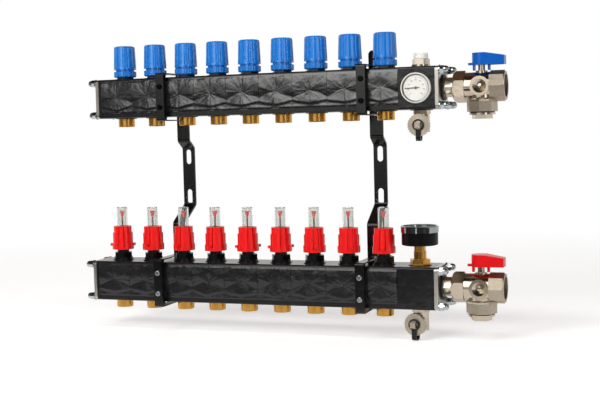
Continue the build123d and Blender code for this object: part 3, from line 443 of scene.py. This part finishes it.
def flat_lacquer(name, base, roughness):
    """Lacquer or ink on a flat plate: an even coat with a faint mottle."""
    material, tree, place = start_material(name)
    close_material(
        tree, Base_Color=mottle(tree, place, 4, shade(base, 0.97), shade(base, 1.02)),
        Roughness=mottle(tree, place, 3, roughness * 0.9, roughness * 1.1), IOR=1.5,
    )
    return material


def dress(material, *names):
    """Gives CAD nodes their finish."""
    for name in names:
        mesh = nodes[name].data
        mesh.materials.clear()
        mesh.materials.append(material)


def new_piece(name, bm, material):
    """Makes an object from a bmesh whose place is in its vertices, fixed to the manifold."""
    bmesh.ops.recalc_face_normals(bm, faces=bm.faces)
    mesh = bpy.data.meshes.new(name)
    bm.to_mesh(mesh)
    bm.free()
    piece = bpy.data.objects.new(name, mesh)
    bpy.context.scene.collection.objects.link(piece)
    mesh.materials.append(material)
    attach(piece, "manifold")


def add_block(bm, size, matrix):
    """A small block of that size, set in place by a matrix."""
    made = bmesh.ops.create_cube(bm, size=1.0)
    bmesh.ops.scale(bm, vec=size, verts=made["verts"])
    bmesh.ops.transform(bm, matrix=matrix, verts=made["verts"])


def add_figure(bm, text, height, matrix):
    """A printed figure, made from text, set in place by a matrix."""
    curve = bpy.data.curves.new("figure", "FONT")
    curve.body = text
    curve.size = height
    curve.align_x = "CENTER"
    curve.align_y = "CENTER"
    curve.extrude = sizes().ink / 2
    holder = bpy.data.objects.new("figure", curve)
    bpy.context.scene.collection.objects.link(holder)
    bpy.context.view_layer.update()
    flat = bpy.data.meshes.new_from_object(holder.evaluated_get(bpy.context.evaluated_depsgraph_get()))
    flat.transform(matrix)
    bm.from_mesh(flat)
    bpy.data.objects.remove(holder)
    bpy.data.curves.remove(curve)
    bpy.data.meshes.remove(flat)


def print_dial(name, dial_at, ticks, tick_radius_mm, figures, figure_radius_mm, ink):
    """Prints a dial's ring of ticks, and its figures inside it, clockwise from lower left to lower right."""
    size = sizes()
    start, sweep, long_every = 225, -270, 5
    bm = bmesh.new()
    for step in range(ticks + 1):
        turn = Matrix.Rotation(radians(start + sweep * step / ticks), 4, "Z")
        tick = size.tick_short if step % long_every else size.tick_long
        outwards = Matrix.Translation((tick_radius_mm * MM - tick / 2, 0, size.ink / 2))
        add_block(bm, (tick, size.tick_width, size.ink), dial_at @ (turn @ outwards))
    for step, figure in enumerate(figures):
        way = radians(start + sweep * step / (len(figures) - 1))
        spot = Vector((cos(way), sin(way), 0)) * figure_radius_mm * MM
        add_figure(bm, str(figure), size.figure_height, dial_at @ Matrix.Translation(spot))
    new_piece(name, bm, ink)


def cushion(side, z, half, stray):
    """How far a module's face stands out there, as a share of the relief.

    side runs from 0 at the module's middle to 1 at its seam, and z is the height from the bar's axis.
    stray shifts the crease and the ridge, so that no two modules are quite alike.
    A crease crosses the face and drops towards the seams. Above it the face bulges, most at the seams,
    and ends in a lip. Below it a rhombus slopes out to a ridge, and from there the face falls in folds."""
    crease_z = (3 - 9 * side + 3 * stray) * MM
    ridge_z = (-14 + 6.5 * side + 2.4 * stray) * MM
    crease = 0.3 - 0.2 * side
    if z >= crease_z:
        climb = min(1.0, (z - crease_z) / (half - top_margin - crease_z))
        bulge = (0.2 + 0.55 * side) * max(0.0, sin(pi * climb)) ** 0.8
        lip = 0.1 * climb ** 4
        return crease + bulge + lip
    slope = 0.55 / (17 * MM)
    if z > ridge_z:
        return crease + slope * (crease_z - z)
    ridge = crease + slope * (crease_z - ridge_z)
    fall = min(1.0, (ridge_z - z) / (ridge_z + half - foot_margin))
    folds = 0.13 * (0.4 + 0.6 * side) * sin(pi * 3 * fall)
    return ridge * (1 - 0.8 * fall ** 1.2) + folds


def add_face(bm, x, face_y, axis_z, out, pitch, half, relief):
    """One module's cushioned face: a fine grid pushed out from the bar, with a rim that meets it.

    x is the module's left seam, face_y the bar's face, and out is -1 in front and 1 at the back."""
    low, high = -half + foot_margin, half - top_margin
    columns, rows = 48, 44
    # The rim's width at the seams, as a share of the pitch, and how steeply it rises at foot and top.
    rim, foot_rise, top_rise = 0.006, 36, 15
    groove_depth, groove_narrow = 0.15, 30
    # The face stays this far off the solid, and at least this share of the relief proud of it.
    lift, least = 0.03 * MM, 0.05
    made = bmesh.ops.create_grid(bm, x_segments=columns, y_segments=rows, size=0.5)
    for vert in made["verts"]:
        u, v = vert.co.x + 0.5, vert.co.y + 0.5
        if 0.5 < u * columns < 1.5:
            u = rim
        if 0.5 < (1 - u) * columns < 1.5:
            u = 1 - rim
        z = low + (high - low) * v
        edge = min(1.0, min(u, 1 - u) / rim, foot_rise * v, top_rise * (1 - v))
        side = abs(2 * u - 1)
        groove = 1 - groove_depth * max(0.0, 1 - abs(u - 0.5) * groove_narrow)
        # The factor on y tells the front's pattern from the back's.
        spot = Vector((x + pitch * u, face_y * 3, axis_z + z))
        stray = noise.noise(spot * per_metre(22))
        # Flow marks spread from the module's middle: the noise is slow outwards and fast round it.
        across = (u - 0.5) * pitch
        reach = (across ** 2 + z ** 2) ** 0.5
        fan = Vector((3.2 * atan2(z - 2 * MM, across), per_metre(25) * reach, x * 900))
        rough = (
            0.16 * noise.noise(spot * per_metre(12)) + 0.1 * noise.noise(fan) + 0.045 * noise.noise(fan * 2.3)
            + 0.04 * noise.noise(spot * per_metre(3.2))
        )
        stand = relief * (max(least, cushion(side, z, half, stray) + rough) * groove * edge)
        vert.co = Vector((x + pitch * u, face_y + out * (lift + stand), axis_z + z))


class MANIFOLD_OT_bars(Operator):
    """Finish the moulded bars, their rubber, end plates, tie rods and pipe connectors"""
    bl_idname = "manifold.bars"
    bl_label = "Bars"

    def execute(self, context):
        dress(moulded_polyamide("polyamide of the end modules", gloss=0.35, sink=0.9), "end_modules")
        dress(moulded_rubber(), "seals_and_pads")
        dress(plated_metal("nickel-plated plate", colours().plate, 0.3), "end_plates")
        dress(plated_metal("zinc-plated steel", colours().zinc, 0.16), "tie_rods_and_nuts")
        dress(threaded_brass(), "pipe_connectors")
        # The real supply bar leans back in its clamps and looks darker for it, so it has less gloss.
        for bar, turning, gloss, swell in (
            ("return", "return_knob", 1.1, 1.0),
            ("supply", "flow_cap", 0.55, 1.25),
        ):
            faced = moulded_polyamide(f"polyamide of the {bar} faces", gloss, sink=0.15)
            plain = moulded_polyamide(f"polyamide of the {bar} modules", gloss=0.35, sink=0.15)
            dress(plain, f"{bar}_modules")
            low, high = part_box(f"{bar}_modules")
            centre = middle(f"{bar}_modules")
            half = (high.y - low.y) / 2
            pitch = middle(f"{turning}_2").x - middle(f"{turning}_1").x
            for side, out in (("front", -1), ("back", 1)):
                bm = bmesh.new()
                for i in range(circuits):
                    add_face(
                        bm, low.x + pitch * i, centre.y + out * half, centre.z, out, pitch, half,
                        sizes().relief * swell,
                    )
                new_piece(f"{bar}_{side}_faces", bm, faced)
        return {"FINISHED"}


class MANIFOLD_OT_return_circuits(Operator):
    """Finish the return side's knobs, rings and inserts"""
    bl_idname = "manifold.return_circuits"
    bl_label = "Return circuits"

    def execute(self, context):
        blue = moulded_abs("blue ABS", colours().blue, roughness=0.18, gloss=0.7)
        dress(blue, "knob_rings", *numbered("return_knob"))
        dress(insert_finish(), "valve_inserts")
        return {"FINISHED"}


class MANIFOLD_OT_flow_meters(Operator):
    """Finish the supply side's flow meters, and print the scales on their tubes"""
    bl_idname = "manifold.flow_meters"
    bl_label = "Flow meters"

    def execute(self, context):
        dress(moulded_abs("red ABS", colours().red, roughness=0.2, gloss=0.5), *numbered("flow_cap"))
        dress(indicator_plastic(), *numbered("flow_indicator"))
        black = moulded_abs("black polysulfone", colours().black, roughness=0.25, gloss=0.4)
        dress(black, "flow_bodies", "drain_straps")
        dress(clear_polyamide(), "clear_covers")
        size = sizes()
        tube_radius = 7.6 * MM
        marks, first_mark_mm, mark_pitch_mm = 7, 4, 3
        # Two rows of marks on each tube, to both sides of the angle at which it faces the viewer.
        facing, spread = -70, 42
        # The marks are finer than a pixel, so they are drawn broader and thicker than on the dials.
        mark_depth, mark_width = size.ink * 2, size.tick_width * 1.6
        bm = bmesh.new()
        for cap, indicator in zip(numbered("flow_cap"), numbered("flow_indicator")):
            _, cap_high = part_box(cap)
            axis = middle(indicator)
            for side in (-1, 1):
                turn = Matrix.Rotation(radians(facing + side * spread), 4, "Z")
                for step in range(marks):
                    height = cap_high.z + (first_mark_mm + mark_pitch_mm * step) * MM
                    long = size.tick_short if step % 2 else size.tick_long
                    upon = Matrix.Translation((tube_radius, 0, 0))
                    spot = Matrix.Translation((axis.x, axis.y, height)) @ turn @ upon
                    add_block(bm, (mark_depth, long, mark_width), spot)
        new_piece("tube_scales", bm, flat_lacquer("tube ink", colours().print_ink, 0.5))
        return {"FINISHED"}


class MANIFOLD_OT_instruments(Operator):
    """Finish the thermometer, the gauge and its fittings, and print both dials"""
    bl_idname = "manifold.instruments"
    bl_label = "Instruments"

    def execute(self, context):
        dress(flat_lacquer("white lacquer", colours().dial, 0.35), "thermometer_case_and_dials")
        dress(flat_lacquer("bronzed needle", colours().needle, 0.35), "thermometer_needle", "gauge_needle")
        dress(plated_metal("chromed steel", colours().chrome, 0.07), "gauge_bezel")
        dress(plated_metal("polished brass", colours().brass, 0.2), "gauge_fittings")
        case = moulded_abs("black ABS of the gauge", colours().black, roughness=0.3, gloss=0.15)
        dress(case, "gauge_case")
        ink = flat_lacquer("dial ink", colours().print_ink, 0.5)
        # From the front of each needle to the dial behind it.
        to_dial = 1.8 * MM
        _, needle_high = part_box("thermometer_needle")
        centre = Vector((middle("vent_body").x, needle_high.y - to_dial, middle("return_modules").z))
        upright = Matrix.Translation(centre) @ Matrix.Rotation(pi / 2, 4, "X")
        print_dial("thermometer_scale", upright, 40, 14.9, range(0, 90, 10), 10.7, ink)
        gauge_low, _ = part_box("gauge_needle")
        gauge = middle("gauge_bezel")
        lying = Matrix.Translation((gauge.x, gauge.y, gauge_low.z + to_dial))
        print_dial("gauge_scale", lying, 50, 20.5, range(0, 12, 2), 15.4, ink)
        return {"FINISHED"}


class MANIFOLD_OT_end_fittings(Operator):
    """Finish the vent, drains, unions, ball valves and levers"""
    bl_idname = "manifold.end_fittings"
    bl_label = "End fittings"

    def execute(self, context):
        dress(
            plated_metal("nickel-plated brass", colours().nickel, 0.15), "vent_body", "drain_bodies", "unions",
            "branch_plugs", "return_valve_stem", "supply_valve_stem",
        )
        dress(cast_and_plated(), "ball_valve_bodies")
        dress(faced_cap("return_drain_cap", 0.0), "return_drain_cap")
        dress(faced_cap("supply_drain_cap", radians(-11)), "supply_drain_cap")
        dress(moulded_abs("white ABS", colours().white, roughness=0.35, gloss=0.5), "vent_cap")
        for lever, name, base in (
            ("return_lever", "blue lever ABS", colours().lever_blue),
            ("supply_lever", "red lever ABS", colours().lever_red),
        ):
            dress(moulded_abs(name, base, roughness=0.25, gloss=0.25), lever)
        return {"FINISHED"}


class MANIFOLD_OT_brackets(Operator):
    """Finish the wall brackets and bar clamps"""
    bl_idname = "manifold.brackets"
    bl_label = "Brackets"

    def execute(self, context):
        dress(powder_coat(), "wall_brackets", "bar_clamps")
        dress(screw_finish(), "clamp_screws")
        return {"FINISHED"}


def add_lamp(name, place, aim, width, height, power):
    """A soft box of that size that shines on the aim point. Polished surfaces mirror the cards instead."""
    lamp = bpy.data.lights.new(name, "AREA")
    lamp.shape = "RECTANGLE"
    lamp.size = width
    lamp.size_y = height
    lamp.energy = power
    holder = bpy.data.objects.new(name, lamp)
    holder.location = place
    holder.rotation_euler = (aim - place).to_track_quat("-Z", "Y").to_euler()
    holder.visible_glossy = False
    bpy.context.scene.collection.objects.link(holder)


def add_stage_plane(name, matrix, width, depth, material):
    """A flat piece of the studio, which isn't part of the object."""
    bm = bmesh.new()
    made = bmesh.ops.create_grid(bm, x_segments=1, y_segments=1, size=0.5)
    bmesh.ops.scale(bm, vec=(width, depth, 1), verts=made["verts"])
    bmesh.ops.transform(bm, matrix=matrix, verts=made["verts"])
    mesh = bpy.data.meshes.new(name)
    bm.to_mesh(mesh)
    bm.free()
    plane = bpy.data.objects.new(name, mesh)
    bpy.context.scene.collection.objects.link(plane)
    mesh.materials.append(material)
    plane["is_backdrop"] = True
    return plane


def add_mirrored_plane(name, matrix, width, depth, material):
    """A flag or card of the studio that only polished surfaces see."""
    plane = add_stage_plane(name, matrix, width, depth, material)
    plane.visible_camera = False
    plane.visible_diffuse = False
    plane.visible_shadow = False
    plane.visible_transmission = False


def plain_sight(tree):
    """The Light Path node, and one for rays that come from the camera or through clear plastic."""
    path = add_node(tree, "ShaderNodeLightPath")
    seen = add_node(
        tree, "ShaderNodeMath", {0: path.outputs["Is Camera Ray"], 1: path.outputs["Is Transmission Ray"]},
        operation="MAXIMUM",
    )
    return path, seen.outputs["Value"]


def pale_floor():
    """Painted floor: matt and white to the eye, with the object's shadow on it and no seam to the backdrop."""
    material, tree, place = start_material("painted floor")
    base = colours().floor
    mirrored_share, lift = 0.5, 0.42
    # Metres from the object's middle to where the backdrop's white starts, and to where it is full.
    shadow_reach, backdrop_reach = 0.5, 1.5
    paint = add_node(
        tree, "ShaderNodeBsdfPrincipled",
        {"Base Color": mottle(tree, place, 60, shade(base, 0.99), shade(base)), "Roughness": 0.85},
    )
    path, seen = plain_sight(tree)
    gloss = add_node(
        tree, "ShaderNodeMath", {0: path.outputs["Is Glossy Ray"], 1: mirrored_share}, operation="MULTIPLY"
    )
    shown = add_node(tree, "ShaderNodeMath", {0: seen, 1: gloss.outputs["Value"]}, operation="MAXIMUM")
    lifted = add_node(tree, "ShaderNodeMath", {0: shown.outputs["Value"], 1: lift}, operation="MULTIPLY")
    glow = add_node(tree, "ShaderNodeEmission", {"Color": pure_white, "Strength": lifted.outputs["Value"]})
    near = add_node(tree, "ShaderNodeAddShader", {0: paint.outputs["BSDF"], 1: glow.outputs["Emission"]})
    backdrop = add_node(tree, "ShaderNodeEmission", {"Color": pure_white, "Strength": 1.0})
    centre = middle("supply_modules")
    flat = add_node(
        tree, "ShaderNodeMapping", {"Vector": place, "Location": (-centre.x, -centre.y, 0), "Scale": (1, 1, 0)},
        vector_type="POINT",
    )
    reach = add_node(tree, "ShaderNodeVectorMath", {0: flat.outputs["Vector"]}, operation="LENGTH")
    far = add_node(
        tree, "ShaderNodeMapRange",
        {"Value": reach.outputs["Value"], "From Min": shadow_reach, "From Max": backdrop_reach},
    )
    share = add_node(
        tree, "ShaderNodeMath", {0: far.outputs["Result"], 1: shown.outputs["Value"]}, operation="MULTIPLY"
    )
    both = add_node(
        tree, "ShaderNodeMixShader",
        {0: share.outputs["Value"], 1: near.outputs["Shader"], 2: backdrop.outputs["Emission"]},
    )
    add_node(tree, "ShaderNodeOutputMaterial", {"Surface": both.outputs["Shader"]})
    return material


def black_flag():
    """Black felt on the studio's flags: only polished surfaces see it, as their dark bands."""
    material, tree, place = start_material("black felt")
    base = colours().felt
    close_material(tree, Base_Color=mottle(tree, place, 3, shade(base, 0.7), shade(base, 1.3)), Roughness=0.95)
    return material


def white_card(name, dark_z, light_z, strength):
    """White reflector card in the studio: polished surfaces mirror it.

    It is dark below the one height and has its full strength above the other."""
    material, tree, place = start_material(name)
    falloff = 2.2
    split = add_node(tree, "ShaderNodeSeparateXYZ", {"Vector": place})
    fade = add_node(
        tree, "ShaderNodeMapRange",
        {"Value": split.outputs["Z"], "From Min": dark_z, "From Max": light_z},
    )
    curve = add_node(tree, "ShaderNodeMath", {0: fade.outputs["Result"], 1: falloff}, operation="POWER")
    power = add_node(tree, "ShaderNodeMath", {0: curve.outputs["Value"], 1: strength}, operation="MULTIPLY")
    glow = add_node(
        tree, "ShaderNodeEmission", {"Color": shade(colours().card), "Strength": power.outputs["Value"]}
    )
    add_node(tree, "ShaderNodeOutputMaterial", {"Surface": glow.outputs["Emission"]})
    return material


def studio_world():
    """The studio's room: plain white to the camera, and to everything else a pale room with a dark ceiling.

    Polished surfaces see it darker on the camera's side than behind the object."""
    world = bpy.data.worlds.new("studio")
    world.use_nodes = True
    world.node_tree.nodes.clear()
    tree = world.node_tree
    room_light, camera_side, far_side = 0.45, 0.14, 0.9
    ceiling_starts, ceiling_full, turn_over = 0.3, 0.62, 0.3
    path, seen = plain_sight(tree)
    # In a world, Generated is the direction in which a ray leaves.
    way = add_node(tree, "ShaderNodeTexCoord")
    split = add_node(tree, "ShaderNodeSeparateXYZ", {"Vector": way.outputs["Generated"]})
    height = add_node(
        tree, "ShaderNodeMapRange",
        {"Value": split.outputs["Z"], "From Min": ceiling_starts, "From Max": ceiling_full},
    )
    walls = add_node(
        tree, "ShaderNodeMix",
        {0: height.outputs["Result"], 6: shade(colours().card), 7: shade(colours().ceiling)},
        data_type="RGBA",
    )
    mirrored = add_node(
        tree, "ShaderNodeMapRange",
        {
            "Value": split.outputs["Y"], "From Min": -turn_over, "From Max": turn_over,
            "To Min": camera_side, "To Max": far_side,
        },
    )
    lit = add_node(
        tree, "ShaderNodeMix", {0: path.outputs["Is Glossy Ray"], 2: room_light, 3: mirrored.outputs["Result"]}
    )
    room = add_node(tree, "ShaderNodeBackground", {"Color": walls.outputs[2], "Strength": lit.outputs[0]})
    backdrop = add_node(tree, "ShaderNodeBackground", {"Color": pure_white, "Strength": 1.0})
    both = add_node(
        tree, "ShaderNodeMixShader",
        {0: seen, 1: room.outputs["Background"], 2: backdrop.outputs["Background"]},
    )
    add_node(tree, "ShaderNodeOutputWorld", {"Surface": both.outputs["Shader"]})
    return world


def add_camera(scene):
    """The camera at the fitted place, turned by the bearing, elevation and roll, and made the scene's own."""
    size = sizes()
    camera = bpy.data.cameras.new("camera")
    camera.lens = size.lens
    camera.sensor_width = 36.0
    camera.clip_end = 50
    holder = bpy.data.objects.new("camera", camera)
    back_way = Vector((
        sin(size.bearing) * cos(size.elevation), -cos(size.bearing) * cos(size.elevation), sin(size.elevation)
    ))
    level = Vector((cos(size.bearing), sin(size.bearing), 0))
    upright = back_way.cross(level)
    aimed = Matrix((level, upright, back_way)).transposed() @ Matrix.Rotation(size.roll, 3, "Z")
    holder.matrix_world = Matrix.Translation(camera_place) @ aimed.to_4x4()
    scene.collection.objects.link(holder)
    scene.camera = holder


class MANIFOLD_OT_stage(Operator):
    """Set the floor, backdrop, lamps, world and camera"""
    bl_idname = "manifold.stage"
    bl_label = "Stage"

    def execute(self, context):
        scene = context.scene
        low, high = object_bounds()
        centre = (low + high) / 2
        floor_width = 12.0
        floor_at = Matrix.Translation((centre.x, 0, low.z))
        add_stage_plane("floor", floor_at, floor_width, floor_width, pale_floor())
        felt = black_flag()
        # Each lies on the floor: its middle, its height above the floor, its width and depth.
        for name, x, y, raised_mm, width, depth, material in (
            ("low_flag", centre.x, -1.45, 2, 6.0, 1.9, felt),
            ("near_flag", -0.65, -0.43, 2, 1.9, 0.14, felt),
            # The middle flat of the return union's nut mirrors this card.
            ("floor_card", 0.17, -1.385, 4, 0.16, 0.5, white_card("floor card", -1.0, -0.3, 1.85)),
        ):
            lying = Matrix.Translation((x, y, low.z + raised_mm * MM))
            add_mirrored_plane(name, lying, width, depth, material)
        # Each stands and faces the object: its middle, width, foot and top, the heights between which its
        # light rises, and its strength.
        for name, spot, width, foot, top, dark_z, light_z, strength in (
            ("front_card", (-0.25, -2.0), 1.3, -0.2, 2.5, -0.45, 0.6, 3.1),
            ("right_card", (1.55, -1.3), 0.35, -0.2, 1.3, -0.6, 0.1, 2.2),
        ):
            facing = Vector((*spot, 0)) - Vector((centre.x, centre.y, 0))
            turned = facing.to_track_quat("Z", "Y").to_matrix().to_4x4()
            standing = Matrix.Translation((*spot, (foot + top) / 2)) @ turned
            card = white_card(name.replace("_", " "), dark_z, light_z, strength)
            add_mirrored_plane(name, standing, width, top - foot, card)
        # Each soft box: its place and aim from the object's middle, its width and height, and its watts.
        for name, place, aim, width, height, watts in (
            ("left soft box", (-0.58, -1.6, 0.78), (0, 0, 0.1), 0.7, 1.1, 20),
            ("right soft box", (1.5, -0.75, 0.35), (0, 0, 0), 0.35, 1.1, 6),
            ("long soft box", (0, -0.7, 1.6), (0, 0, 0), 2.2, 0.3, 11),
            ("back soft box", (-0.6, 1.6, 1.2), (0, 0, 0), 1.2, 0.8, 9),
        ):
            add_lamp(name, centre + Vector(place), centre + Vector(aim), width, height, watts)
        scene.world = studio_world()
        scene.view_settings.view_transform = "Standard"
        add_camera(scene)
        return {"FINISHED"}


class MANIFOLD_PT_panel(Panel):
    """The manifold's colours and sizes, and its pieces in the order in which they are made"""
    bl_label = "Heating Manifold"
    bl_idname = "MANIFOLD_PT_panel"
    bl_space_type = "VIEW_3D"
    bl_region_type = "UI"
    bl_category = "Manifold"

    def draw(self, context):
        for group, settings in ((ManifoldColours, colours()), (ManifoldSizes, sizes())):
            for name in group.__annotations__:
                self.layout.prop(settings, name)
        for step in steps:
            self.layout.operator(step.bl_idname)


steps = (
    MANIFOLD_OT_bars,
    MANIFOLD_OT_return_circuits,
    MANIFOLD_OT_flow_meters,
    MANIFOLD_OT_instruments,
    MANIFOLD_OT_end_fittings,
    MANIFOLD_OT_brackets,
    MANIFOLD_OT_stage,
)
classes = (ManifoldColours, ManifoldSizes, *steps, MANIFOLD_PT_panel)


def register():
    """Adds the classes, and hangs their properties on the scene."""
    for cls in classes:
        bpy.utils.register_class(cls)
    bpy.types.Scene.manifold_colours = PointerProperty(type=ManifoldColours)
    bpy.types.Scene.manifold_sizes = PointerProperty(type=ManifoldSizes)


def unregister():
    """Takes the properties and the classes away again."""
    del bpy.types.Scene.manifold_sizes
    del bpy.types.Scene.manifold_colours
    for cls in reversed(classes):
        bpy.utils.unregister_class(cls)


def main():
    """Registers the add-on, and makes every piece."""
    register()
    bpy.ops.manifold.bars()
    bpy.ops.manifold.return_circuits()
    bpy.ops.manifold.flow_meters()
    bpy.ops.manifold.instruments()
    bpy.ops.manifold.end_fittings()
    bpy.ops.manifold.brackets()
    bpy.ops.manifold.stage()


if __name__ == "__main__":
    main()
